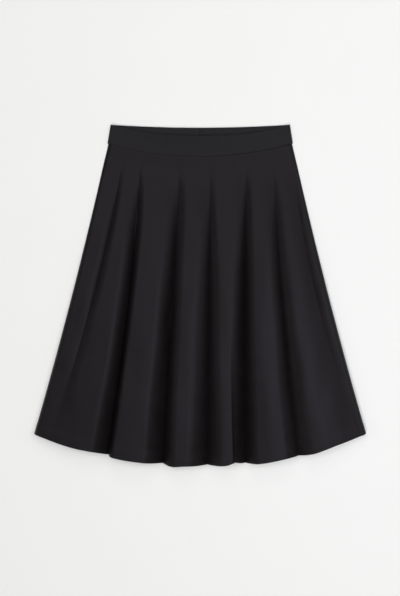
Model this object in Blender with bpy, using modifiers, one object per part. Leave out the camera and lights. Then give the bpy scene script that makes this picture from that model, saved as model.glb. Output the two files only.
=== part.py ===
"""A-line midi skirt in black jersey, laid flat on its back panel.

Frame: metres, +Z up.  z = 0 is the surface that the skirt lies on, +Y points from the hem
to the waist, and the origin is on that surface at the middle of the skirt's outline.

Three pieces, as a maker cuts them: a waistband that is a ring folded flat, a front panel
that falls in soft flutes, and a back panel under it whose lower folds lie inside those
flutes.  Each panel is one sheet, worked out row by row from the waist seam to the hem.
"""
import bpy
import bmesh
import numpy as np

MM = 0.001

# ---- cloth and seams
PANEL_WALL = 1.5 * MM
BAND_WALL = 2.8 * MM            # jersey, elastic and jersey
SEAM_GAP = 0.3 * MM

# ---- outline, laid flat.  A drop is measured down from the band's top corners
LENGTH = 678 * MM               # from those corners to the middle of the hem
BAND_TOP_WIDTH = 358 * MM
BAND_FOOT_WIDTH = 370 * MM
PANEL_TOP_WIDTH = 367 * MM
HEM_WIDTH = 661 * MM
HEM_CORNER_DROP = 616 * MM
FLARE_CURVE = 0.132             # how much later than a straight side the flare opens
BACK_HEM_SHORTER = 3 * MM
HEM_DROOP = 4 * MM              # how much lower the hem hangs in the right-hand flute,
DROOP_AT, DROOP_REACH = 0.66, 0.1    # and where, as shares of the half width

# ---- waistband: how far the middle of each edge hangs below the ends of that edge
BAND_SIDE_HEIGHT = 38 * MM
BACK_TOP_DIP = 6 * MM
FRONT_TOP_DIP = 22 * MM
BACK_FOOT_DIP = 8 * MM
FRONT_FOOT_DIP = 26 * MM
FRONT_TOP_ROUND = 2.3           # powers of the dips: 2 is a parabola
PLAIN_ROUND = 2.0

# ---- flutes
CREST = 33 * MM                 # height of a flute over the bottom of a trough, at the hem
BACK_CREST = 31 * MM
FOLDS_START = 0.04              # share of the way down from the waist seam
FOLDS_EASE = 2.4                # how quickly the flutes reach their height
RUN_AT_WAIST = 0.60             # a trough's width there, as a share of its width at the hem
SIDE_RUN = 150 * MM             # from the side edge up to the first crest, at the hem
SIDE_SHARE = 0.42               # height of the rolled side edge, as a share of the crest
SIDE_ROLL = 8 * MM              # over which it rolls down to the surface
SETTLE = 0.15                   # share of the length over which the front sinks to the back
BACK_INSET = 3.4 * MM           # how much narrower the back's folds are, each side
SHOULDER_EASE = 45 * MM         # over which a rolled shoulder blends into its flute
TROUGH_ROUND = 3 * MM           # radius at the bottom of a trough
CROWN = 0.20                    # share of a trough's depth that reaches on into the flutes,
CROWN_RUN = 38 * MM             # and how far it reaches, so that their tops are rounded

# Troughs between the flutes, from left to right.  x and run in millimetres: x of the
# trough's bottom at the waist, half way down and at the hem, width of its left and right
# slopes at the hem, depth as a share of the crest at waist and hem (one that starts below
# the waist has a minus there), and how far the steep shoulder rolls over the trough to the
# left.
TROUGHS = (
    # name, waist_x, middle_x, hem_x, left_run, right_run, waist_depth, hem_depth, roll
    ("A",   -148,    -210,     -300,  20,       20,        0.75,        0.00,      0),
    ("B",   -115,    -142,     -182,  36,       24,        1.00,        1.00,      14),
    ("C",   -38,     -57,      -74,   40,       36,        1.00,        1.00,      14),
    ("D",   20,      17,       14,    36,       34,        0.80,        0.92,      0),
    ("E",   58,      62,       69,    9,        20,        -0.55,       0.55,      0),
    ("F",   93,      87,       89,    32,       30,        0.95,        1.00,      0),
    ("G",   145,     160,      194,   32,       32,        0.78,        0.62,      0),
    ("H",   180,     233,      316,   34,       22,        0.75,        0.15,      0),
)

# ---- how finely the sheets are divided
PANEL_COLUMNS, PANEL_ROWS = 104, 16
BAND_LAYER_COLUMNS, BAND_FOLD_COLUMNS, BAND_ROWS = 24, 6, 3
ROW_BUNCHING = 1.25             # over 1 puts more rows near the waist
EVEN_ROW = 0.6                  # the row, from waist to hem, whose columns are evenly spaced
FINE_STEPS = 4000               # samples used to space them

# ---- colours, linear
JERSEY = (0.019, 0.018, 0.020, 1.0)
BAND_JERSEY = (0.021, 0.020, 0.022, 1.0)

TOP_Y = LENGTH / 2
FRONT_REST_Z = PANEL_WALL + SEAM_GAP + PANEL_WALL / 2
FRONT_WAIST_Z = BAND_WALL + SEAM_GAP + BAND_WALL / 2


def mix(a, b, share):
    return a + (b - a) * share


def ease(share):
    """0 to 1 with level ends."""
    t = np.clip(share, 0, 1)
    return t * t * (3 - 2 * t)


def dipped(drop, dip, across, power=PLAIN_ROUND):
    """Y of an edge whose middle hangs `dip` below its ends; `across` runs from -1 to 1."""
    return TOP_Y - drop - dip * (1 - np.abs(across) ** power)


def half_width(down):
    """Half the laid width of a panel, `down` from 0 at the waist seam to 1 at the hem."""
    flare = down + FLARE_CURVE * (down * down - down)
    return mix(PANEL_TOP_WIDTH, HEM_WIDTH, flare) / 2


def swell(down):
    """Share of their full height that the flutes have reached at a row."""
    t = np.clip((down - FOLDS_START) / (1 - FOLDS_START), 0, 1)
    return (1 - np.exp(-FOLDS_EASE * t)) / (1 - np.exp(-FOLDS_EASE))


def bump(away, level, run):
    """1 within `level` of a trough's bottom and 0 from `run` beyond it.

    It is steepest at the bottom, where the round sides of two flutes meet.
    """
    rounded = np.hypot(away, TROUGH_ROUND) - TROUGH_ROUND
    return (1 - np.clip((rounded - level) / run, 0, 1)) ** 2


def side_rise(from_edge, run):
    """Share of the crest reached beside the side edge: a steep roll, then a gentle slope."""
    roll = np.sqrt(1 - (1 - np.clip(from_edge / SIDE_ROLL, 0, 1)) ** 2)
    slope = np.sin(np.pi / 2 * np.clip(from_edge / run, 0, 1))
    return roll * mix(SIDE_SHARE, 1, slope)


def trough_x(trough, down):
    """X of a trough's bottom: a parabola through its waist, middle and hem."""
    name, waist_x, middle_x, hem_x = trough[:4]
    bow = middle_x - mix(waist_x, hem_x, 0.5)
    return (mix(waist_x, hem_x, down) + 4 * bow * down * (1 - down)) * MM


def fold_row(phase, down, crest, inset):
    """X and height of the folded cloth over its lowest level, at each phase of a row.

    A phase is a whole number at a side edge or trough, and runs evenly between them.
    """
    edge = half_width(down)
    marks = np.stack([-edge] + [trough_x(trough, down) for trough in TROUGHS] + [edge])
    before = np.minimum(phase.astype(int), len(TROUGHS))
    point = np.arange(len(phase))
    x = mix(marks[before, point], marks[before + 1, point], phase - before)
    width = mix(RUN_AT_WAIST, 1, down)
    height = side_rise(edge - np.abs(x) - inset, SIDE_RUN * width)
    shift = np.zeros_like(x)
    for trough in TROUGHS:
        left_run, right_run, waist_depth, hem_depth, roll = trough[4:]
        away = x - trough_x(trough, down)
        run = np.where(away < 0, left_run, right_run) * MM * width
        steep, wide = bump(away, inset, run), bump(away, inset, run + CROWN_RUN * width)
        depth = np.maximum(0, mix(waist_depth, hem_depth, down))
        height *= 1 - depth * mix(steep, wide, CROWN)
        climb = ease((away - inset) / run)
        shift += roll * MM * climb * (1 - ease((away - inset - run) / SHOULDER_EASE))
    return x - shift * ease(down), height * crest * swell(down)


def even_phases(columns):
    """Phases whose columns are evenly spaced along one row of the front, one on each mark.

    Both panels use them, so that their facets lie over each other.
    """
    fine = np.linspace(0, len(TROUGHS) + 1, FINE_STEPS)
    x, z = fold_row(fine, np.full_like(fine, EVEN_ROW), CREST, 0)
    along = np.concatenate(([0], np.cumsum(np.hypot(np.diff(x), np.diff(z)))))
    phases = np.interp(np.linspace(0, along[-1], columns + 1), along, fine)
    for mark in range(len(TROUGHS) + 2):
        phases[np.argmin(np.abs(phases - mark))] = mark
    return phases


def row_shares(rows):
    return np.linspace(0, 1, rows + 1) ** ROW_BUNCHING


def panel_y(across, down):
    """Y on either panel, so that equal shares of the way down lie over each other."""
    under_band = across * PANEL_TOP_WIDTH / BAND_FOOT_WIDTH
    seam = dipped(BAND_SIDE_HEIGHT + SEAM_GAP, FRONT_FOOT_DIP, under_band)
    hem = dipped(HEM_CORNER_DROP, LENGTH - HEM_CORNER_DROP, across)
    hem -= HEM_DROOP * np.exp(-((across - DROOP_AT) / DROOP_REACH) ** 2)
    return mix(seam, hem, down)


def front_surface(columns, rows):
    """Middle surface of the front panel, as rows of points from waist to hem."""
    phases = even_phases(columns)
    surface = []
    for share in row_shares(rows):
        down = np.full_like(phases, share)
        x, z = fold_row(phases, down, CREST, 0)
        level = mix(FRONT_WAIST_Z, FRONT_REST_Z, ease(down / SETTLE))
        turned = ease((half_width(down) - np.abs(x)) / SIDE_ROLL)
        z += mix(FRONT_REST_Z, level, turned)
        surface.append(np.stack([x, panel_y(x / half_width(down), down), z], axis=1))
    return surface


def back_surface(columns, rows):
    """Underside of the back panel: z = 0 wherever it rests.

    Its waist seam hangs less than the front's, so its rows start a little above down = 0.
    """
    phases = even_phases(columns)
    surface = []
    for share in row_shares(rows):
        level = np.full_like(phases, share)
        x, z = fold_row(phases, level, BACK_CREST, BACK_INSET)
        across = x / half_width(level)
        length = panel_y(across, 0) - panel_y(across, 1)
        start = (BACK_FOOT_DIP - FRONT_FOOT_DIP) * (1 - np.abs(across) ** PLAIN_ROUND) / length
        down = mix(start, 1 - BACK_HEM_SHORTER / length, share)
        x, z = fold_row(phases, down, BACK_CREST, BACK_INSET)
        surface.append(np.stack([x, panel_y(x / half_width(down), down), z], axis=1))
    return surface


def band_path(columns, fold_columns):
    """Steps round the flattened ring, from one side of the centre back seam to the other.

    Each step is its share of the half width, its height over the surface, and how much it
    belongs to the front layer, from 0 to 1.
    """
    radius = (BAND_WALL + SEAM_GAP) / 2
    low = BAND_WALL / 2
    reach = 1 - (radius + BAND_WALL / 2) / (BAND_TOP_WIDTH / 2)
    slit = SEAM_GAP / BAND_TOP_WIDTH
    half = columns // 2
    steps = [(share, low, 0.0) for share in np.linspace(slit, reach, half + 1)]
    turns = np.linspace(0, np.pi, fold_columns + 1)[1:-1]
    fold = [(reach + radius / (BAND_TOP_WIDTH / 2) * np.sin(a),
             low + radius * (1 - np.cos(a)), (1 - np.cos(a)) / 2) for a in turns]
    steps += fold
    steps += [(share, low + 2 * radius, 1.0) for share in np.linspace(reach, -reach, columns + 1)]
    steps += [(-share, z, layer) for share, z, layer in reversed(fold)]
    steps += [(share, low, 0.0) for share in np.linspace(-reach, -slit, half + 1)]
    return steps


def band_surface(columns, fold_columns, rows):
    """Middle surface of the waistband, as rows of points from its foot to its top edge."""
    surface = []
    for up in np.linspace(0, 1, rows + 1):
        half = mix(BAND_FOOT_WIDTH, BAND_TOP_WIDTH, up) / 2
        row = []
        for across, z, layer in band_path(columns, fold_columns):
            back_foot = dipped(BAND_SIDE_HEIGHT, BACK_FOOT_DIP, across)
            front_foot = dipped(BAND_SIDE_HEIGHT, FRONT_FOOT_DIP, across)
            back_top = dipped(0, BACK_TOP_DIP, across)
            front_top = dipped(0, FRONT_TOP_DIP, across, FRONT_TOP_ROUND)
            foot = mix(back_foot, front_foot, layer)
            top = mix(back_top, front_top, layer)
            row.append((across * half, mix(foot, top, up), z))
        surface.append(np.array(row))
    return surface


def jersey(name, colour):
    material = bpy.data.materials.new(name)
    material.use_nodes = True
    shader = material.node_tree.nodes["Principled BSDF"]
    shader.inputs["Base Color"].default_value = colour
    shader.inputs["Roughness"].default_value = 0.85
    shader.inputs["Metallic"].default_value = 0.0
    shader.inputs["Sheen Weight"].default_value = 0.3
    return material


def sheet(name, surface, wall, offset, material, collection):
    """One piece of cloth: a grid laid on the surface's points and given its wall.

    The wall lies evenly round the surface at offset 0, and all above it at offset 1.
    """
    rows, columns = len(surface) - 1, len(surface[0]) - 1
    shape = bmesh.new()
    bmesh.ops.create_grid(shape, x_segments=columns, y_segments=rows, size=1)
    for vert in shape.verts:
        column = round((vert.co.x + 1) / 2 * columns)
        row = round((1 - vert.co.y) / 2 * rows)
        vert.co = surface[row][column]
    mesh = bpy.data.meshes.new(name)
    shape.to_mesh(mesh)
    shape.free()
    mesh.shade_smooth()
    piece = bpy.data.objects.new(name, mesh)
    piece.data.materials.append(material)
    collection.objects.link(piece)
    thicken = piece.modifiers.new("wall", "SOLIDIFY")
    thicken.thickness = wall
    thicken.offset = offset
    return piece


def build_skirt():
    for item in list(bpy.data.objects):
        bpy.data.objects.remove(item)
    skirt = bpy.data.collections.new("a_line_midi_skirt")
    bpy.context.scene.collection.children.link(skirt)
    band = band_surface(BAND_LAYER_COLUMNS, BAND_FOLD_COLUMNS, BAND_ROWS)
    sheet("waistband", band, BAND_WALL, 0, jersey("band jersey", BAND_JERSEY), skirt)
    front = front_surface(PANEL_COLUMNS, PANEL_ROWS)
    sheet("front_panel", front, PANEL_WALL, 0, jersey("front jersey", JERSEY), skirt)
    back = back_surface(PANEL_COLUMNS, PANEL_ROWS)
    sheet("back_panel", back, PANEL_WALL, 1, jersey("back jersey", JERSEY), skirt)


if __name__ == "__main__":
    build_skirt()
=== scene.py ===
# %% [markdown]
# # An A-line midi skirt in black jersey, laid flat
#
# The skirt is sewn from three cut pieces: a waistband, which is a ring of jersey folded over
# elastic, and a flared front and back. Laid down, the spare cloth of the flare stands up in
# soft flutes, and the back lies under the front with its own folds inside them.
# Every piece is a sheet, so all are made in one way: a rule places the points of a grid, the
# grid gets its wall, and the rim of the wall is rounded. Thread and light come after that.

import bmesh
import bpy
import numpy as np
from mathutils import Matrix, Vector


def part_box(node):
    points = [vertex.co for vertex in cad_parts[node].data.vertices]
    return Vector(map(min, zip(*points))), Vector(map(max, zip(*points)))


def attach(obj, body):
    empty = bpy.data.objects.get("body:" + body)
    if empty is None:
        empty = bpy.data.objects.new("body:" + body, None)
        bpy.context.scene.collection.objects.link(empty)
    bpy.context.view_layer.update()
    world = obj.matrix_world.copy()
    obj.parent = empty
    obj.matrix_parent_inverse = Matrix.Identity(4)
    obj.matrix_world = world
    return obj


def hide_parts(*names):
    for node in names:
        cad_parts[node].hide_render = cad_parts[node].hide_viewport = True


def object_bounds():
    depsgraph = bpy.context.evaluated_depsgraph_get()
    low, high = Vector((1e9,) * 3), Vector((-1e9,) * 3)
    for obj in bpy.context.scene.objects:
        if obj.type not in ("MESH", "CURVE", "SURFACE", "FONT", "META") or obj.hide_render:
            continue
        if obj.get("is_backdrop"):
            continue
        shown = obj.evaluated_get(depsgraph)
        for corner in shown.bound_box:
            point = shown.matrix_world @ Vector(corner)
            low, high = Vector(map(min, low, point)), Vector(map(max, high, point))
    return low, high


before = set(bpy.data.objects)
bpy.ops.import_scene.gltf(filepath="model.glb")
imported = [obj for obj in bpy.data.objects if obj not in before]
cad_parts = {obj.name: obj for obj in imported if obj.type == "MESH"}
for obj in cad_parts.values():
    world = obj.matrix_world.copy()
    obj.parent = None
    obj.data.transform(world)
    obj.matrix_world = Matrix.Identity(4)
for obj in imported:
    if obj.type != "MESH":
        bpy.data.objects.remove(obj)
cad_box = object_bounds()
MM = 0.001
for node in sorted(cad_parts):
    low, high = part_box(node)
    print(node, "measures", [round(side / MM) for side in high - low], "mm")

# %% [markdown]
# ## The camera
# The skirt was photographed from straight above. Both sides of it show alike, and the raised
# flutes at the hem reach a little further out than the cloth between them, which is what a
# lens under two metres away does. A long frame fit, set by its height, makes 2 mm a pixel.

# %% Camera
CAMERA_HEIGHT = 1.8
PICTURE_LENGTH = 1.192          # metres of floor from the picture's foot to its top
PICTURE_MIDDLE = (-0.0004, -0.0072)

lens = bpy.data.cameras.new("overhead")
lens.sensor_fit = "VERTICAL"
lens.sensor_height = 36
lens.lens = lens.sensor_height * CAMERA_HEIGHT / PICTURE_LENGTH
camera = bpy.data.objects.new("overhead", lens)
camera.location = (*PICTURE_MIDDLE, CAMERA_HEIGHT)
bpy.context.scene.collection.objects.link(camera)
bpy.context.scene.camera = camera
print("the lens is", round(lens.lens, 1), "mm long, looking straight down")

# %% [markdown]
# ## Colours and nodes
# Colours are picked as sRGB hex values, as in any paint program, but shaders count light
# linearly, so one function turns a hex value to linear. A second one adds any shader node
# with its settings and links, which keeps each material short enough to read.


# %% Helpers for materials
def linear(code):
    """A hex colour such as "#1a1a1a" as linear red, green, blue and alpha."""
    shares = [int(code[i:i + 2], 16) / 255 for i in (1, 3, 5)]
    return tuple(s / 12.92 if s <= 0.04045 else ((s + 0.055) / 1.055) ** 2.4 for s in shares) + (1,)


def add_node(tree, kind, sockets=None, **settings):
    """Adds a node. A socket's value may be another node's output, which is then linked."""
    node = tree.nodes.new(kind)
    for name, value in settings.items():
        setattr(node, name, value)
    for key, value in (sockets or {}).items():
        if isinstance(value, bpy.types.NodeSocket):
            tree.links.new(value, node.inputs[key])
        else:
            node.inputs[key].default_value = value
    return node


def empty_material(name):
    material = bpy.data.materials.new(name)
    material.use_nodes = True
    material.node_tree.nodes.clear()
    return material, material.node_tree


print("near black #141214 is", [round(c, 4) for c in linear("#141214")[:3]], "in linear light")

# %% [markdown]
# ## Floor
# Under the skirt lies plain white paper. Uncoated paper has no gloss, so it only scatters
# light, and its pulp is faintly cloudy, which keeps a large even floor from looking drawn.

# %% Paper floor
FLOOR_HALF = 6.0                # metres from its middle to its edge
FLOOR_BELOW = 0.2 * MM          # so that paper and cloth don't share a plane
PAPER_WHITE = "#f1f1ef"
PULP_CLOUDS, CLOUD_TONES = 130 * MM, (0.99, 1.01)

paper, tree = empty_material("matt white paper")
spot = add_node(tree, "ShaderNodeTexCoord")
pulp = add_node(tree, "ShaderNodeTexNoise", {
    "Vector": spot.outputs["Object"], "Scale": 1 / PULP_CLOUDS, "Detail": 3.0})
tone = add_node(tree, "ShaderNodeMapRange", {
    "Value": pulp.outputs["Fac"], "To Min": CLOUD_TONES[0], "To Max": CLOUD_TONES[1]})
shade = add_node(tree, "ShaderNodeMix", {
    "Factor": 1.0, "A": linear(PAPER_WHITE), "B": tone.outputs["Result"]},
    data_type="RGBA", blend_type="MULTIPLY")
white = add_node(tree, "ShaderNodeBsdfPrincipled", {
    "Base Color": shade.outputs["Result"], "Roughness": 1.0, "Specular IOR Level": 0.0})
add_node(tree, "ShaderNodeOutputMaterial", {"Surface": white.outputs["BSDF"]})

shape = bmesh.new()
bmesh.ops.create_grid(shape, x_segments=1, y_segments=1, size=FLOOR_HALF)
bmesh.ops.translate(shape, verts=shape.verts, vec=(0, 0, -FLOOR_BELOW))
floor_mesh = bpy.data.meshes.new("floor")
shape.to_mesh(floor_mesh)
shape.free()
floor_mesh.materials.append(paper)
floor = bpy.data.objects.new("floor", floor_mesh)
bpy.context.scene.collection.objects.link(floor)
floor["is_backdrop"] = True
print("the paper is", 2 * FLOOR_HALF, "m wide")

# %% [markdown]
# ## Light
# Black cloth shows its folds only by gloss: a level part mirrors the lamps overhead and looks
# grey, and a slope mirrors the dark beside them. So most light comes from above, where sun
# lamps with a wide disc light the paper evenly from edge to edge, as large far lamps do.
# Three nearer softboxes make the right side brighter. The room itself gives no light, but
# the camera sees a pale wall behind the floor when it looks from the side.

# %% Lamps
# Each far lamp stands so many degrees round from +X and off the vertical.
FAR_LAMPS = (
    # name,         round, off, strength, colour
    ("overhead",    60,    14,  0.36,     "#ffffff"),
    ("top_left",    135,   28,  0.57,     "#ffffff"),
    ("right",       22.5,  45,  0.42,     "#ffffff"),
    ("lower_left",  247.5, 45,  1.46,     "#ffffff"),
    ("far_left",    180,   65,  0.26,     "#fff6ec"),
)
LAMP_DISC = 22                  # degrees that a far lamp's disc spans
LAMP_DISTANCE = 3               # metres, for looks only: a sun lamp is as strong from anywhere
SOFTBOXES = (
    # name,      place,              side, watts, colour
    ("near",     (1.0, -0.3, 2.4),   1.0,  16.6,  "#f6f9ff"),
    ("low",      (2.6, 0.2, 1.0),    1.2,  5.6,   "#f6f9ff"),
    ("top",      (0.0, 2.2, 2.0),    1.5,  10.0,  "#ffffff"),
)


def hang_lamp(name, kind, place, power, colour):
    """A lamp at a place, turned to face the skirt."""
    lamp = bpy.data.lights.new(name, kind)
    lamp.energy, lamp.color = power, linear(colour)[:3]
    holder = bpy.data.objects.new(name, lamp)
    holder.location = place
    holder.rotation_euler = place.to_track_quat("Z", "Y").to_euler()
    bpy.context.scene.collection.objects.link(holder)
    return lamp


for name, turn, off, strength, colour in FAR_LAMPS:
    turn, off = np.radians(turn), np.radians(off)
    place = Vector((np.sin(off) * np.cos(turn), np.sin(off) * np.sin(turn), np.cos(off)))
    sun = hang_lamp(name, "SUN", place * LAMP_DISTANCE, strength, colour)
    sun.angle = np.radians(LAMP_DISC)
for name, place, side, watts, colour in SOFTBOXES:
    softbox = hang_lamp(name + "_softbox", "AREA", Vector(place), watts, colour)
    softbox.shape, softbox.size = "SQUARE", side
    print(name, "softbox hangs", round(Vector(place).length, 1), "m away")

# %% Room
world = bpy.data.worlds.new("studio")
bpy.context.scene.world = world
world.use_nodes = True
tree = world.node_tree
tree.nodes.clear()
dark = add_node(tree, "ShaderNodeBackground", {"Strength": 0.0})
wall = add_node(tree, "ShaderNodeBackground", {"Color": linear(PAPER_WHITE), "Strength": 1.0})
seen = add_node(tree, "ShaderNodeLightPath")
blend = add_node(tree, "ShaderNodeMixShader", {
    0: seen.outputs["Is Camera Ray"], 1: dark.outputs["Background"], 2: wall.outputs["Background"]})
add_node(tree, "ShaderNodeOutputWorld", {"Surface": blend.outputs["Shader"]})
bpy.context.scene.view_settings.view_transform = "Standard"
print("the room is lit by", len(FAR_LAMPS), "far lamps and", len(SOFTBOXES), "softboxes")

# %% [markdown]
# ## How the flare falls
# The outline of the laid skirt is a smooth trapezoid: a short waist seam, a long curved hem
# and straight sides. The front is 821 mm round the hem and has to lie within 661 mm, so it
# stands up in flutes with a trough between each two. A cloth simulation would find folds of
# its own; these follow the ones in the photograph, so a table says where each trough runs,
# how wide its two slopes are and how far a shoulder rolls over it. A rule then turns any
# place on the cut cloth into a place in space.

# %% Sizes of the laid skirt
LENGTH = 678 * MM               # from the band's top corners to the middle of the hem
BAND_TOP_WIDTH = 358 * MM
BAND_FOOT_WIDTH = 370 * MM
PANEL_TOP_WIDTH = 367 * MM
HEM_WIDTH = 661 * MM
HEM_CORNER_DROP = 616 * MM
FLARE_CURVE = 0.132             # how much later than a straight side the flare opens
BACK_HEM_SHORTER = 3 * MM
# Places where the hem hangs lower or higher than its even curve, across the half width
HEM_DROOPS = (
    # across, reach, lower_mm
    (0.66,    0.10,  4.0),
    (0.37,    0.12,  2.5),
    (0.205,   0.03,  -4.5),
    (-0.17,   0.05,  2.5),
    (-0.64,   0.08,  -3.0),
)

BAND_SIDE_HEIGHT = 38 * MM
BACK_TOP_DIP, FRONT_TOP_DIP = 6 * MM, 22 * MM
BACK_FOOT_DIP, FRONT_FOOT_DIP = 8 * MM, 26 * MM
FRONT_TOP_ROUND, PLAIN_ROUND = 2.3, 2.0

CLOTH = 1.0 * MM                # one layer of jersey
TURNED_HEM = 1.6 * MM           # two layers, pressed
BAND_WALL = 2.6 * MM            # jersey, elastic and jersey
LAYER_GAP = 0.5 * MM            # between the band's front and back layer
TOP_Y = LENGTH / 2
FRONT_REST_Z = CLOTH + CLOTH / 2
FRONT_WAIST_Z = BAND_WALL + LAYER_GAP + BAND_WALL / 2


def mix(a, b, share):
    return a + (b - a) * share


def ease(share):
    """0 to 1 with level ends."""
    t = np.clip(share, 0, 1)
    return t * t * (3 - 2 * t)


def dipped(drop, dip, across, power=PLAIN_ROUND):
    """Y of an edge whose middle hangs `dip` below its ends; `across` runs from -1 to 1."""
    return TOP_Y - drop - dip * (1 - np.abs(across) ** power)


def half_width(down):
    """Half the laid width of a panel, `down` from 0 at the waist seam to 1 at the hem."""
    flare = down + FLARE_CURVE * (down * down - down)
    return mix(PANEL_TOP_WIDTH, HEM_WIDTH, flare) / 2


def panel_y(across, down):
    """Y on either panel, so that equal shares of the way down lie over each other."""
    under_band = across * PANEL_TOP_WIDTH / BAND_FOOT_WIDTH
    seam = dipped(BAND_SIDE_HEIGHT, FRONT_FOOT_DIP, under_band)
    hem = dipped(HEM_CORNER_DROP, LENGTH - HEM_CORNER_DROP, across)
    for place, reach, lower in HEM_DROOPS:
        hem -= lower * MM * np.exp(-((across - place) / reach) ** 2)
    return mix(seam, hem, down)


print("half way down the skirt is", round(2 * half_width(0.5) / MM), "mm wide")

# %% Troughs between the flutes
CREST, BACK_CREST = 33 * MM, 31 * MM    # height of a flute over its troughs, at the hem
FOLDS_START, FOLDS_EASE = 0.04, 2.4     # where flutes start, and how quickly they rise
RUN_AT_WAIST = 0.60             # a trough's width there, as a share of its width at the hem
SIDE_RUN = 150 * MM             # from the side edge up to the first crest, at the hem
SIDE_SHARE = 0.42               # height of the rolled side edge, as a share of the crest
SIDE_ROLL = 8 * MM              # over which that edge rolls down to the surface
SETTLE = 0.15                   # share of the length over which the front sinks to the back
BACK_INSET = 3.4 * MM           # how much narrower the back's folds are, each side
SHOULDER_EASE = 45 * MM         # over which a rolled shoulder blends into its flute
ROLL_EASE = 1.7                 # how low down the slope its roll sets in
TROUGH_ROUND = 0.1 * MM         # radius at the bottom of a trough
SHARPER_HEM = 0.45              # how much sharper the shoulders of a trough are at the hem
# Share of a trough's depth that reaches on into the flutes, at the left and right side of the
# skirt, and how far: it rounds their tops
CROWNS, CROWN_RUN = (0.16, 0.34), 38 * MM

# x of the trough's bottom at the waist, half way and at the hem, and the width of its left and
# right slopes at the hem, in millimetres; its depth as a share of the crest at waist and hem;
# how far its right shoulder rolls over it, in millimetres. The fifth has no depth: it marks
# the crease in the left slope of the sixth.
TROUGHS = (
    # waist_x, middle_x, hem_x, left_run, right_run, waist_depth, hem_depth, roll
    (-151,     -212,     -300,  20,       20,        0.75,        0.00,      0),
    (-119,     -142,     -182,  36,       24,        1.00,        1.00,      13),
    (-40,      -58,      -74,   40,       36,        1.00,        1.00,      11),
    (20,       17,       14,    36,       29,        0.80,        0.92,      0),
    (58,       59,       66,    20,       20,        0.00,        0.00,      0),
    (93,       88,       90,    32,       25,        0.95,        1.00,      0),
    (145,      163,      196,   28,       31,        0.78,        0.68,      0),
    (181,      229,      316,   34,       22,        0.78,        0.28,      0),
)
CREASE, CREASED = 4, 5          # which of them is the crease, and the trough whose slope it parts
CREASE_START, CREASE_EASE = 0.48, 0.3   # where it starts and how soon it is full, as shares
CREASE_RUN, CREASE_WIDTH = 34 * MM, 5 * MM    # of the slope that it parts, and of its own step


def swell(down):
    """Share of their full height that the flutes have reached at a row."""
    t = np.clip((down - FOLDS_START) / (1 - FOLDS_START), 0, 1)
    return (1 - np.exp(-FOLDS_EASE * t)) / (1 - np.exp(-FOLDS_EASE))


def bump(away, level, run, power=2):
    """1 within `level` of a trough's bottom and 0 from `run` beyond it, steepest low down."""
    rounded = np.hypot(away, TROUGH_ROUND) - TROUGH_ROUND
    return (1 - np.clip((rounded - level) / run, 0, 1)) ** power


def side_rise(from_edge, run):
    """Share of the crest reached beside the side edge: a steep roll, then a gentle slope."""
    roll = np.sqrt(1 - (1 - np.clip(from_edge / SIDE_ROLL, 0, 1)) ** 2)
    slope = np.sin(np.pi / 2 * np.clip(from_edge / run, 0, 1))
    return roll * mix(SIDE_SHARE, 1, slope)


def trough_x(trough, down):
    """X of a trough's bottom: a parabola through its waist, middle and hem."""
    waist_x, middle_x, hem_x = trough[:3]
    bow = middle_x - mix(waist_x, hem_x, 0.5)
    return (mix(waist_x, hem_x, down) + 4 * bow * down * (1 - down)) * MM


def fold_row(phase, down, crest, inset):
    """X and height of the folded cloth over its lowest level, at each phase of a row.

    A phase is a whole number at a side edge or trough, and runs evenly between them.
    """
    edge = half_width(down)
    marks = np.stack([-edge] + [trough_x(trough, down) for trough in TROUGHS] + [edge])
    before = np.minimum(phase.astype(int), len(TROUGHS))
    point = np.arange(len(phase))
    x = mix(marks[before, point], marks[before + 1, point], phase - before)
    width = mix(RUN_AT_WAIST, 1, down)
    height = side_rise(edge - np.abs(x) - inset, SIDE_RUN * width)
    shift = np.zeros_like(x)
    creased = ease((down - CREASE_START) / CREASE_EASE)
    power = 2 - SHARPER_HEM * ease(2 * down - 1)
    for index, trough in enumerate(TROUGHS):
        left_run, right_run, waist_depth, hem_depth, roll = trough[3:]
        away = x - trough_x(trough, down)
        run = np.where(away < 0, left_run, right_run) * MM * width
        steep, wide = bump(away, inset, run, power), bump(away, inset, run + CROWN_RUN * width)
        crown = mix(*CROWNS, ease(trough_x(trough, down) / half_width(down) + 0.5))
        if index == CREASED:
            past = x - trough_x(TROUGHS[CREASE], down) - inset
            slope = bump(away, inset, CREASE_RUN, power) * ease(past / CREASE_WIDTH + 0.5)
            steep = np.where(away < 0, mix(steep, slope, creased), steep)
        height *= 1 - mix(waist_depth, hem_depth, down) * mix(steep, wide, crown)
        climb = 1 - (1 - np.clip((away - inset) / run, 0, 1)) ** ROLL_EASE
        shift += roll * MM * climb * (1 - ease((away - inset - run) / SHOULDER_EASE))
    return x - shift * ease(down), height * crest * swell(down)


print(len(TROUGHS) - 1, "troughs and a crease part flutes up to", round(CREST / MM), "mm high")

# %% [markdown]
# ## Points along a row, and the cut they come from
# Points are spaced evenly along the folded cloth, not along the floor, or the steep slopes
# would be coarse. Jersey is knitted in columns that run down the uncut cloth, so the
# knit follows the flat pattern: each panel is cut as part of a ring, and every point keeps its
# place on that pattern as its UV.

# %% Rows, columns and the flat pattern
EVEN_ROW = 0.6                  # the row, from waist to hem, whose points are evenly spaced
FINE_STEPS = 8000
TROUGH_BAND, TROUGH_BUNCHING = 0.035, 4.0    # phases beside a trough where points stand closer
WAIST_ARC, HEM_ARC, PANEL_DROP = 370 * MM, 815 * MM, 616 * MM
WAIST_RADIUS = WAIST_ARC * PANEL_DROP / (HEM_ARC - WAIST_ARC)
HALF_ANGLE = WAIST_ARC / WAIST_RADIUS / 2
RING_CENTRE = (0.45, 1.15)      # of the flat pattern, placed so that it fits the unit square
HEM_TURNING = 24 * MM
HEM_LINES = (22, 18)            # needle rows over the hem's edge, in millimetres
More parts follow.
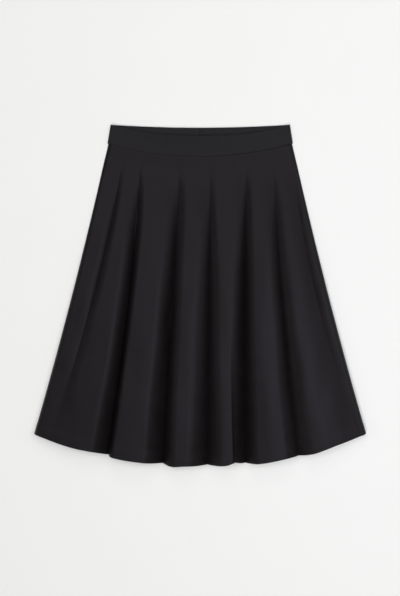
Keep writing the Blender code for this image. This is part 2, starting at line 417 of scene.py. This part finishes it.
# Rows of points over the hem's edge, in millimetres, closer together round the needle rows
HEM_ROWS = (1, 3, 8, 13, 16, 17, 18, 19, 20, 21, 22, 23, 24, 27)
ROW_BUNCHING = 1.25             # over 1 puts more rows near the waist
ROW_SPACE = 0.01                # share of the way down kept free above the hem's rows


def even_phases(columns):
    """Phases evenly spaced along one row of the front, with one on each side edge and trough."""
    fine = np.linspace(0, len(TROUGHS) + 1, FINE_STEPS)
    row = np.full_like(fine, EVEN_ROW)
    x, z = fold_row(fine, row, CREST, 0)
    near = sum(np.exp(-((fine - mark) / TROUGH_BAND) ** 2) for mark in range(1, len(TROUGHS) + 1))
    steps = np.hypot(np.diff(x), np.diff(z)) * (1 + TROUGH_BUNCHING * near[1:])
    along = np.concatenate(([0], np.cumsum(steps)))
    phases = np.interp(np.linspace(0, along[-1], columns + 1), along, fine)
    for mark in range(len(TROUGHS) + 2):
        phases[np.argmin(np.abs(phases - mark))] = mark
    return phases


def row_shares(rows):
    """Shares of the way down, closer together at the waist and round the needle rows."""
    hem = [1 - above * MM / PANEL_DROP for above in HEM_ROWS]
    upper = np.linspace(0, 1, rows + 1) ** ROW_BUNCHING * (hem[-1] - ROW_SPACE)
    return np.array(list(upper) + hem[::-1] + [1.0])


def cut_place(share_across, down):
    """Place on the flat pattern, in metres."""
    radius = WAIST_RADIUS + PANEL_DROP * down
    angle = share_across * HALF_ANGLE
    return np.stack([RING_CENTRE[0] + radius * np.sin(angle),
                     RING_CENTRE[1] - radius * np.cos(angle)], axis=1)


# %% [markdown]
# ## Unevenness of real cloth
# A rule alone looks ironed. Jersey that was shaken out and laid down keeps long faint waves,
# mostly down its length, and close under the waist seam the stitching draws it into fine
# ripples. Both are small sums of sine waves, so each run gives the same cloth.

# %% Faint waves in the cloth
LONG_WAVES = (
    # length_mm, degrees from across, height_mm, phase
    (47,         8,                   0.20,      0.6),
    (63,         -14,                 0.26,      2.1),
    (88,         21,                  0.30,      4.0),
    (131,        63,                  0.28,      1.3),
    (29,         -5,                  0.07,      5.2),
)
WAVES_START = 0.12              # share of the way down over which the long waves set in
PUCKER_LENGTH, PUCKER_HEIGHT, PUCKER_REACH = 11 * MM, 0.05 * MM, 14 * MM
PUCKER_DRIFT, DRIFT_LENGTH = 0.9, 37 * MM     # keeps the puckers from standing evenly
NEEDLE_DIP, NEEDLE_REACH = 0.22 * MM, 1.1 * MM


def unevenness(x, y, down):
    """Height of the faint waves at each point, in metres."""
    total = np.zeros_like(x)
    for length, degrees, height, phase in LONG_WAVES:
        turn = np.radians(degrees)
        along = (x * np.cos(turn) + y * np.sin(turn)) / (length * MM)
        total += height * MM * np.sin(2 * np.pi * along + phase)
    pucker = PUCKER_HEIGHT * np.exp(-down * PANEL_DROP / PUCKER_REACH)
    drift = PUCKER_DRIFT * np.sin(x / DRIFT_LENGTH)
    ripple = pucker * np.sin(2 * np.pi * x / PUCKER_LENGTH + drift)
    return total * ease(down / WAVES_START) + ripple


def needle_dip(down):
    """How far the two needle rows of the hem pull the cloth in, in metres."""
    above = (1 - down) * PANEL_DROP
    return sum(NEEDLE_DIP * np.exp(-((above - line * MM) / NEEDLE_REACH) ** 2)
               for line in HEM_LINES)


print("waves of up to", max(wave[2] for wave in LONG_WAVES), "mm lie over the flutes")

# %% Places of the front and back panel
FRONT_COLUMNS, FRONT_ROWS = 420, 56
BACK_COLUMNS, BACK_ROWS = 320, 42


def front_row(phases, down):
    """Middle of the front panel's cloth along one row, as points."""
    x, z = fold_row(phases, down, CREST, 0)
    y = panel_y(x / half_width(down), down)
    level = mix(FRONT_WAIST_Z, FRONT_REST_Z, ease(down / SETTLE))
    turned = ease((half_width(down) - np.abs(x)) / SIDE_ROLL)
    z += mix(FRONT_REST_Z, level, turned) + (unevenness(x, y, down) - needle_dip(down)) * turned
    return np.stack([x, y, np.maximum(z, FRONT_REST_Z)], axis=1)


def back_row(phases, share):
    """Underside of the back panel along one row: z = 0 wherever it rests."""
    x, z = fold_row(phases, share, BACK_CREST, BACK_INSET)
    across = x / half_width(share)
    length = panel_y(across, 0) - panel_y(across, 1)
    start = (BACK_FOOT_DIP - FRONT_FOOT_DIP) * (1 - across ** 2) / length
    down = mix(start, 1 - BACK_HEM_SHORTER / length, share)
    x, z = fold_row(phases, down, BACK_CREST, BACK_INSET)
    return np.stack([x, panel_y(x / half_width(down), down), z], axis=1)


def panel_points(place_row, columns, rows):
    """Points of a panel and their places on the flat pattern, row by row from the waist."""
    phases = even_phases(columns)
    shares = np.linspace(-1, 1, columns + 1)
    points, cut = [], []
    for share in row_shares(rows):
        down = np.full_like(phases, share)
        points.append(place_row(phases, down))
        cut.append(cut_place(shares, down))
    return np.array(points), np.array(cut)


front_points, front_cut = panel_points(front_row, FRONT_COLUMNS, FRONT_ROWS)
back_points, back_cut = panel_points(back_row, BACK_COLUMNS, BACK_ROWS)
for name, points in (("front", front_points), ("back", back_points)):
    hem = np.linalg.norm(np.diff(points[-1], axis=0), axis=1).sum()
    print("the", name, "is", round(hem / MM), "mm round the hem and has",
          points.shape[0], "rows of", points.shape[1], "points")

# %% [markdown]
# ## From points to cloth
# A bmesh grid has its points in rows and columns already, so each one only moves to its
# place. The Solidify modifier gives the wall, thinner where a vertex group says so, which
# makes the turned hem two layers thick. Its rim comes out square, and jersey has no square
# edges, so the rim's long edges are bevelled round in bmesh afterwards.


# %% Make a sheet of cloth
RIM_SEGMENTS = 3
SHARP_FOLD = np.radians(40)     # shading doesn't run smoothly over a fold that turns further


def sheet_sides(part, single):
    """Which sides of a walled sheet an edge or face touches; the first has `single` points."""
    return {vert.index < single for vert in part.verts}


def cloth(name, points, cut, wall, offset, share, material, rim_round, closed=False):
    """A piece of cloth. `share` is each point's share of the wall; `closed` sews its ends."""
    rows, columns = len(points) - 1, len(points[0]) - 1
    shape = bmesh.new()
    bmesh.ops.create_grid(shape, x_segments=columns, y_segments=rows, size=1)
    pattern = shape.loops.layers.uv.new("cut")
    spots = {}
    for vert in shape.verts:
        spot = round((1 - vert.co.y) / 2 * rows), round((vert.co.x + 1) / 2 * columns)
        vert.co = points[spot]
        spots[vert.index] = spot
        for loop in vert.link_loops:
            loop[pattern].uv = cut[spot]
    shares = shape.verts.layers.float.new("share")
    for vert in shape.verts:
        vert[shares] = share[spots[vert.index]]
    if closed:
        bmesh.ops.remove_doubles(shape, verts=shape.verts, dist=0.01 * MM)
    thickness = [vert[shares] for vert in shape.verts]
    mesh = bpy.data.meshes.new(name)
    shape.to_mesh(mesh)
    shape.free()
    piece = bpy.data.objects.new(name, mesh)
    bpy.context.scene.collection.objects.link(piece)
    group = piece.vertex_groups.new(name="wall")
    for index, part in enumerate(thickness):
        group.add([index], part, "REPLACE")
    thicken = piece.modifiers.new("wall", "SOLIDIFY")
    thicken.thickness, thicken.offset = wall, offset
    thicken.vertex_group = "wall"

    single = len(mesh.vertices)
    ready = piece.evaluated_get(bpy.context.evaluated_depsgraph_get())
    shape = bmesh.new()
    shape.from_mesh(ready.to_mesh())
    ready.to_mesh_clear()
    rim = [face for face in shape.faces if len(sheet_sides(face, single)) == 2]
    long_edges = {edge for face in rim for edge in face.edges
                  if len(sheet_sides(edge, single)) == 1}
    bmesh.ops.bevel(shape, geom=list(long_edges), offset=rim_round, offset_type="OFFSET",
                    affect="EDGES", segments=RIM_SEGMENTS, profile=0.5, material=-1,
                    clamp_overlap=True)
    piece.modifiers.clear()
    piece.vertex_groups.clear()
    finished = bpy.data.meshes.new(name)
    shape.to_mesh(finished)
    shape.free()
    finished.shade_smooth()
    finished.set_sharp_from_angle(angle=SHARP_FOLD)
    finished.materials.append(material)
    piece.data = finished
    finished.calc_loop_triangles()
    print(name, "has", len(finished.loop_triangles), "triangles")
    return piece


# %% [markdown]
# ## Black jersey
# Jersey is knitted on fine needles from viscose with a little elastane: a smooth face of V
# stitches in columns, dyed a deep black that is a touch violet in its gloss. It is matt, so
# the roughness is high and the gloss weak; the dye swallows nearly all the rest. Real columns
# lie 0.8 mm apart, too fine to show here, so they are drawn at twice that. The dye also
# takes a little unevenly, which shows as faint patches.

# %% Jersey material
WALE, COURSE = 1.6 * MM, 1.2 * MM     # twice the real ones, which are too fine to show
STITCH_SLANT, RIB_DEPTH, LOOP_HEIGHT = 0.9, 3.2, 0.22    # of the V stitches, in stitches
KNIT_RELIEF = 0.12 * MM
DYE_PATCHES, DYE_TONES = 24 * MM, (0.85, 1.15)
GLOSS_SPREAD = 0.02             # how much the roughness varies with the patches
NOISE_RANGE = {"From Min": 0.3, "From Max": 0.7}


def jersey(name, dye, gloss_tint, roughness, specular, relief):
    material, tree = empty_material(name)
    cut = add_node(tree, "ShaderNodeUVMap", uv_map="cut")
    stitches = add_node(tree, "ShaderNodeMapping", {
        "Vector": cut.outputs["UV"], "Scale": (1 / WALE, 1 / COURSE, 1)})
    place = add_node(tree, "ShaderNodeSeparateXYZ", {0: stitches.outputs["Vector"]})
    column = add_node(tree, "ShaderNodeMath", {0: place.outputs["X"]}, operation="FRACT")
    centred = add_node(tree, "ShaderNodeMath", {0: column.outputs[0], 1: 0.5}, operation="SUBTRACT")
    leg = add_node(tree, "ShaderNodeMath", {0: centred.outputs[0]}, operation="ABSOLUTE")
    slant = add_node(tree, "ShaderNodeMath", {
        0: leg.outputs[0], 1: STITCH_SLANT, 2: place.outputs["Y"]}, operation="MULTIPLY_ADD")
    turns = add_node(tree, "ShaderNodeMath", {
        0: slant.outputs[0], 1: 2 * np.pi}, operation="MULTIPLY")
    loops = add_node(tree, "ShaderNodeMath", {0: turns.outputs[0]}, operation="SINE")
    rib = add_node(tree, "ShaderNodeMath", {
        0: leg.outputs[0], 1: leg.outputs[0]}, operation="MULTIPLY")
    face = add_node(tree, "ShaderNodeMath", {
        0: loops.outputs[0], 1: LOOP_HEIGHT, 2: 1.0}, operation="MULTIPLY_ADD")
    knit = add_node(tree, "ShaderNodeMath", {
        0: rib.outputs[0], 1: -RIB_DEPTH, 2: face.outputs[0]}, operation="MULTIPLY_ADD")
    raised = add_node(tree, "ShaderNodeBump", {
        "Strength": relief, "Distance": KNIT_RELIEF, "Height": knit.outputs[0]})

    spot = add_node(tree, "ShaderNodeTexCoord")
    patches = add_node(tree, "ShaderNodeTexNoise", {
        "Vector": spot.outputs["Object"], "Scale": 1 / DYE_PATCHES,
        "Detail": 3.0, "Roughness": 0.6})
    deeper = add_node(tree, "ShaderNodeMapRange", {
        "Value": patches.outputs["Fac"], **NOISE_RANGE,
        "To Min": DYE_TONES[0], "To Max": DYE_TONES[1]})
    dyed = add_node(tree, "ShaderNodeMix", {
        "Factor": 1.0, "A": linear(dye), "B": deeper.outputs["Result"]},
        data_type="RGBA", blend_type="MULTIPLY")
    sheen = add_node(tree, "ShaderNodeMapRange", {
        "Value": patches.outputs["Fac"], **NOISE_RANGE,
        "To Min": roughness - GLOSS_SPREAD, "To Max": roughness + GLOSS_SPREAD})
    surface = add_node(tree, "ShaderNodeBsdfPrincipled", {
        "Base Color": dyed.outputs["Result"], "Roughness": sheen.outputs["Result"],
        "Specular IOR Level": specular, "Specular Tint": linear(gloss_tint),
        "Normal": raised.outputs["Normal"]})
    add_node(tree, "ShaderNodeOutputMaterial", {"Surface": surface.outputs["BSDF"]})
    return material


panel_jersey = jersey("viscose single jersey", dye="#12100f", gloss_tint="#f4ecff",
                      roughness=0.48, specular=0.175, relief=0.15)
print("knit columns", round(WALE / MM, 1), "mm apart, courses", round(COURSE / MM, 1), "mm apart")

# %% Front and back panel
TURNING_STEP = 2 * MM           # over which the turned hem's second layer ends
PANEL_RIM = 0.42 * MM           # radius of the rounded rim


def panel_share(columns, rows):
    """Share of the turned hem's wall at each point: one layer, and two in the turning."""
    above = (1 - row_shares(rows)) * PANEL_DROP
    row = mix(CLOTH / TURNED_HEM, 1, ease((HEM_TURNING - above) / TURNING_STEP))
    return np.repeat(row[:, None], columns + 1, axis=1)


front = cloth("front_panel_cloth", front_points, front_cut, TURNED_HEM, 0,
              panel_share(FRONT_COLUMNS, FRONT_ROWS), panel_jersey, PANEL_RIM)
back = cloth("back_panel_cloth", back_points, back_cut, TURNED_HEM, 1,
             panel_share(BACK_COLUMNS, BACK_ROWS), panel_jersey, PANEL_RIM)

# %% [markdown]
# ## The waistband
# One strip of the same jersey is folded over a flat elastic and closed into a ring at the
# centre back. Laid flat it has a back layer, a fold at each side and a front layer, whose top
# edge hangs lower in the middle, so the inside of the back shows above it. It is a ring that
# was pressed flat, so the path runs once round it and the grid follows the path. The elastic
# fills it, so its edges are full and round: there the rows stand close and the wall thins out
# along a half circle. Where the ring is closed the seam pulls the wall thin, which leaves a
# fine groove. Relaxed elastic lets the front's top edge stand a little off the back, and the
# edge itself curls in towards it.

# %% Path round the flattened ring
EDGE_ROWS = np.array([0, 0.2, 0.5, 0.9, 1.3, 1.9, 2.8]) * MM     # distance from an edge
MIDDLE_ROWS = 11
BAND_FRONT_COLUMNS, BAND_FOLD_COLUMNS = 180, 12
BAND_BACK_STEPS = 88            # from beside the centre back seam to a fold
BESIDE_SEAM = np.array([0, 0.4, 0.8, 1.3, 2.0, 3.0]) * MM       # columns close to the seam
BAND_STRIP = 718 * MM           # length of the strip, closed
BAND_FACE = 40 * MM             # height of the finished band
BAND_CORNER = 0.1               # of its flat pattern, from the unit square's edges, in metres
BAND_OPENING = 3 * MM           # how far the front's top edge stands up in the middle
CURL, CURL_REACH = 0.9, 2.6 * MM     # share of that by which it curls back, and over what width


def band_path(front_columns, back_steps, fold_columns):
    """Steps round the ring: share of the half width, height, share of the front layer."""
    radius = (BAND_WALL + LAYER_GAP) / 2
    low = BAND_WALL / 2
    reach = 1 - (radius + BAND_WALL / 2) / (BAND_TOP_WIDTH / 2)
    beside_seam = BESIDE_SEAM / (BAND_TOP_WIDTH / 2)
    flat = list(beside_seam) + list(np.linspace(beside_seam[-1], reach, back_steps)[1:])
    steps = [(share, low, 0.0) for share in flat]
    turns = np.linspace(0, np.pi, fold_columns + 1)[1:-1]
    fold = [(reach + radius / (BAND_TOP_WIDTH / 2) * np.sin(a),
             low + radius * (1 - np.cos(a)), (1 - np.cos(a)) / 2) for a in turns]
    steps += fold
    steps += [(share, low + 2 * radius, 1.0)
              for share in np.linspace(reach, -reach, front_columns + 1)]
    steps += [(-share, z, layer) for share, z, layer in reversed(fold)]
    steps += [(-share, low, 0.0) for share in reversed(flat)]
    return np.array(steps)


edge_ups = EDGE_ROWS / BAND_FACE
band_ups = np.concatenate([edge_ups, np.linspace(edge_ups[-1], 1 - edge_ups[-1], MIDDLE_ROWS)[1:-1],
                           1 - edge_ups[::-1]])
band_points, band_cut = [], []
across, height, layer = band_path(BAND_FRONT_COLUMNS, BAND_BACK_STEPS, BAND_FOLD_COLUMNS).T
for up in band_ups:
    foot = mix(dipped(BAND_SIDE_HEIGHT, BACK_FOOT_DIP, across),
               dipped(BAND_SIDE_HEIGHT, FRONT_FOOT_DIP, across), layer)
    top = mix(dipped(0, BACK_TOP_DIP, across),
              dipped(0, FRONT_TOP_DIP, across, FRONT_TOP_ROUND), layer)
    x = across * mix(BAND_FOOT_WIDTH, BAND_TOP_WIDTH, up) / 2
    opening = BAND_OPENING * ease(2 * layer - 1) * (1 - across ** 2) ** 2
    curl = 1 - np.sqrt(1 - np.clip(1 - (1 - up) * BAND_FACE / CURL_REACH, 0, 1) ** 2)
    rise = opening * (up ** 2 - CURL * curl)
    band_points.append(np.stack([x, mix(foot, top, up), height + rise], axis=1))
    along = np.linspace(0, BAND_STRIP, len(x))
    band_cut.append(np.stack([BAND_CORNER + along,
                              np.full_like(x, BAND_CORNER + up * BAND_FACE)], axis=1))
band_points, band_cut = np.array(band_points), np.array(band_cut)
print("the band's path has", band_points.shape[1], "points round the ring")

# %% Waistband
SEAM_PINCH, SEAM_REACH = 0.75, 1.1 * MM     # share of the wall lost at the seam, and how wide
EDGE_LEAST = 0.03               # where on the half circle of an edge the wall ends
BAND_RIM = 0.1 * MM

band_jersey = jersey("jersey over elastic", dye="#12100f", gloss_tint="#f0eeff",
                     roughness=0.48, specular=0.185, relief=0.15)
off_seam = np.abs(band_points[:, :, 0]) / SEAM_REACH
pinch = np.where(layer < 0.5, SEAM_PINCH * np.exp(-off_seam ** 2), 0)
from_edge = np.minimum(band_ups, 1 - band_ups)[:, None] * BAND_FACE / (BAND_WALL / 2)
full_edge = np.sqrt(1 - (1 - np.clip(from_edge, EDGE_LEAST, 1)) ** 2)
band = cloth("waistband_ring", band_points, band_cut, BAND_WALL, 0, full_edge * (1 - pinch),
             band_jersey, BAND_RIM, closed=True)

# %% [markdown]
# ## Sewing
# The hem is turned up once and held by a twin needle, which leaves two rows of straight
# stitches on the outside. Each stitch is a short piece of polyester thread that lies on the
# cloth, so each is a small six-sided rod, a few dozen faces at most, laid along its row.
# The turning of the band's own seam is pressed flat on the inside, to one side of the seam.

# %% Twin-needle hem
STITCH, STITCH_GAP = 2.6 * MM, 0.9 * MM
THREAD, SUNK = 0.22 * MM, 0.8   # the thread's radius, and the share of it sunk in the cloth
PLY = 0.5 * MM                  # length of one ply along the twist
WAVE_BAND = 0.314               # metres between the bands of a wave texture of scale 1
END_PHASE = 0.004               # where a needle row starts, beside the side edge

thread_material, tree = empty_material("polyester sewing thread")
twist = add_node(tree, "ShaderNodeTexCoord")
plies = add_node(tree, "ShaderNodeTexWave", {
    "Vector": twist.outputs["Object"], "Scale": WAVE_BAND / PLY}, bands_direction="DIAGONAL")
ply_relief = add_node(tree, "ShaderNodeBump", {
    "Strength": 0.3, "Distance": 0.05 * MM, "Height": plies.outputs["Fac"]})
filament = add_node(tree, "ShaderNodeBsdfPrincipled", {
    "Base Color": linear("#0e0d0f"), "Roughness": 0.42, "Specular IOR Level": 0.35,
    "Normal": ply_relief.outputs["Normal"]})
add_node(tree, "ShaderNodeOutputMaterial", {"Surface": filament.outputs["BSDF"]})


def sew_row(shape, place_row, above):
    """One row of stitches along a panel, `above` metres over the hem's edge."""
    fine = np.linspace(END_PHASE, len(TROUGHS) + 1 - END_PHASE, FINE_STEPS)
    line = place_row(fine, np.full_like(fine, 1 - above / PANEL_DROP))
    along = np.concatenate(([0], np.cumsum(np.linalg.norm(np.diff(line, axis=0), axis=1))))
    count = int(along[-1] / (STITCH + STITCH_GAP))
    starts = np.arange(count) * (STITCH + STITCH_GAP)
    for start in starts:
        ends = [Vector([np.interp(at, along, line[:, axis]) for axis in range(3)])
                for at in (start, start + STITCH)]
        along_seam = (ends[1] - ends[0]).normalized()
        up = along_seam.cross(Vector((0, -1, 0))).normalized()
        middle = (ends[0] + ends[1]) / 2 + up * (TURNED_HEM / 2 + THREAD * (1 - SUNK))
        turn = along_seam.to_track_quat("Z", "Y").to_matrix().to_4x4()
        bmesh.ops.create_cone(shape, cap_ends=True, segments=6, radius1=THREAD, radius2=THREAD,
                              depth=(ends[1] - ends[0]).length,
                              matrix=Matrix.Translation(middle) @ turn)
    return count


shape = bmesh.new()
sewn = sum(sew_row(shape, front_row, line * MM) for line in HEM_LINES)
stitches_mesh = bpy.data.meshes.new("hem_stitches")
shape.to_mesh(stitches_mesh)
shape.free()
stitches_mesh.shade_smooth()
stitches_mesh.materials.append(thread_material)
hem_stitches = bpy.data.objects.new("hem_stitches", stitches_mesh)
bpy.context.scene.collection.objects.link(hem_stitches)
print(sewn, "stitches hold the front's hem")

# %% Turning of the band's seam
TURNING, TURNING_LENGTH = 10 * MM, 0.96 * BAND_FACE
TURNING_WALL, TURNING_RIM = 0.42 * MM, 0.12 * MM
across_turning = np.linspace(0.5 * MM, TURNING, 10)
turning_ups = np.linspace(0.02, 0.985, 16)      # just short of the band's edges
foot, top = dipped(BAND_SIDE_HEIGHT, BACK_FOOT_DIP, 0), dipped(0, BACK_TOP_DIP, 0)
level = np.full_like(across_turning, BAND_WALL + 0.02 * MM)
turning_points, turning_cut = [], []
for up in turning_ups:
    y = np.full_like(across_turning, mix(foot, top, up))
    turning_points.append(np.stack([across_turning, y, level], axis=1))
    turning_cut.append(np.stack([BAND_CORNER + across_turning,
                                 np.full_like(level, BAND_CORNER + up * BAND_FACE)], axis=1))
turning_points = np.array(turning_points)
turning = cloth("band_seam_turning", turning_points, np.array(turning_cut), TURNING_WALL, 1,
                np.ones(turning_points.shape[:2]), band_jersey, TURNING_RIM)

# %% [markdown]
# ## The pieces on their body
# Every piece rides on the one body of the row. Each sheet stands for its CAD solid, which is
# hidden.

# %% Bodies and sheets
for piece, slot in ((front, "panel_jersey"), (back, "panel_jersey"), (band, "band_jersey"),
                    (hem_stitches, "panel_jersey"), (turning, "band_jersey")):
    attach(piece, "root")
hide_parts("front_panel")
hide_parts("back_panel")
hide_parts("waistband")

visual_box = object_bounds()
for name, (low, high) in (("CAD", cad_box), ("visual", visual_box)):
    print(name, "box", [round(side / MM, 1) for side in high - low], "mm")
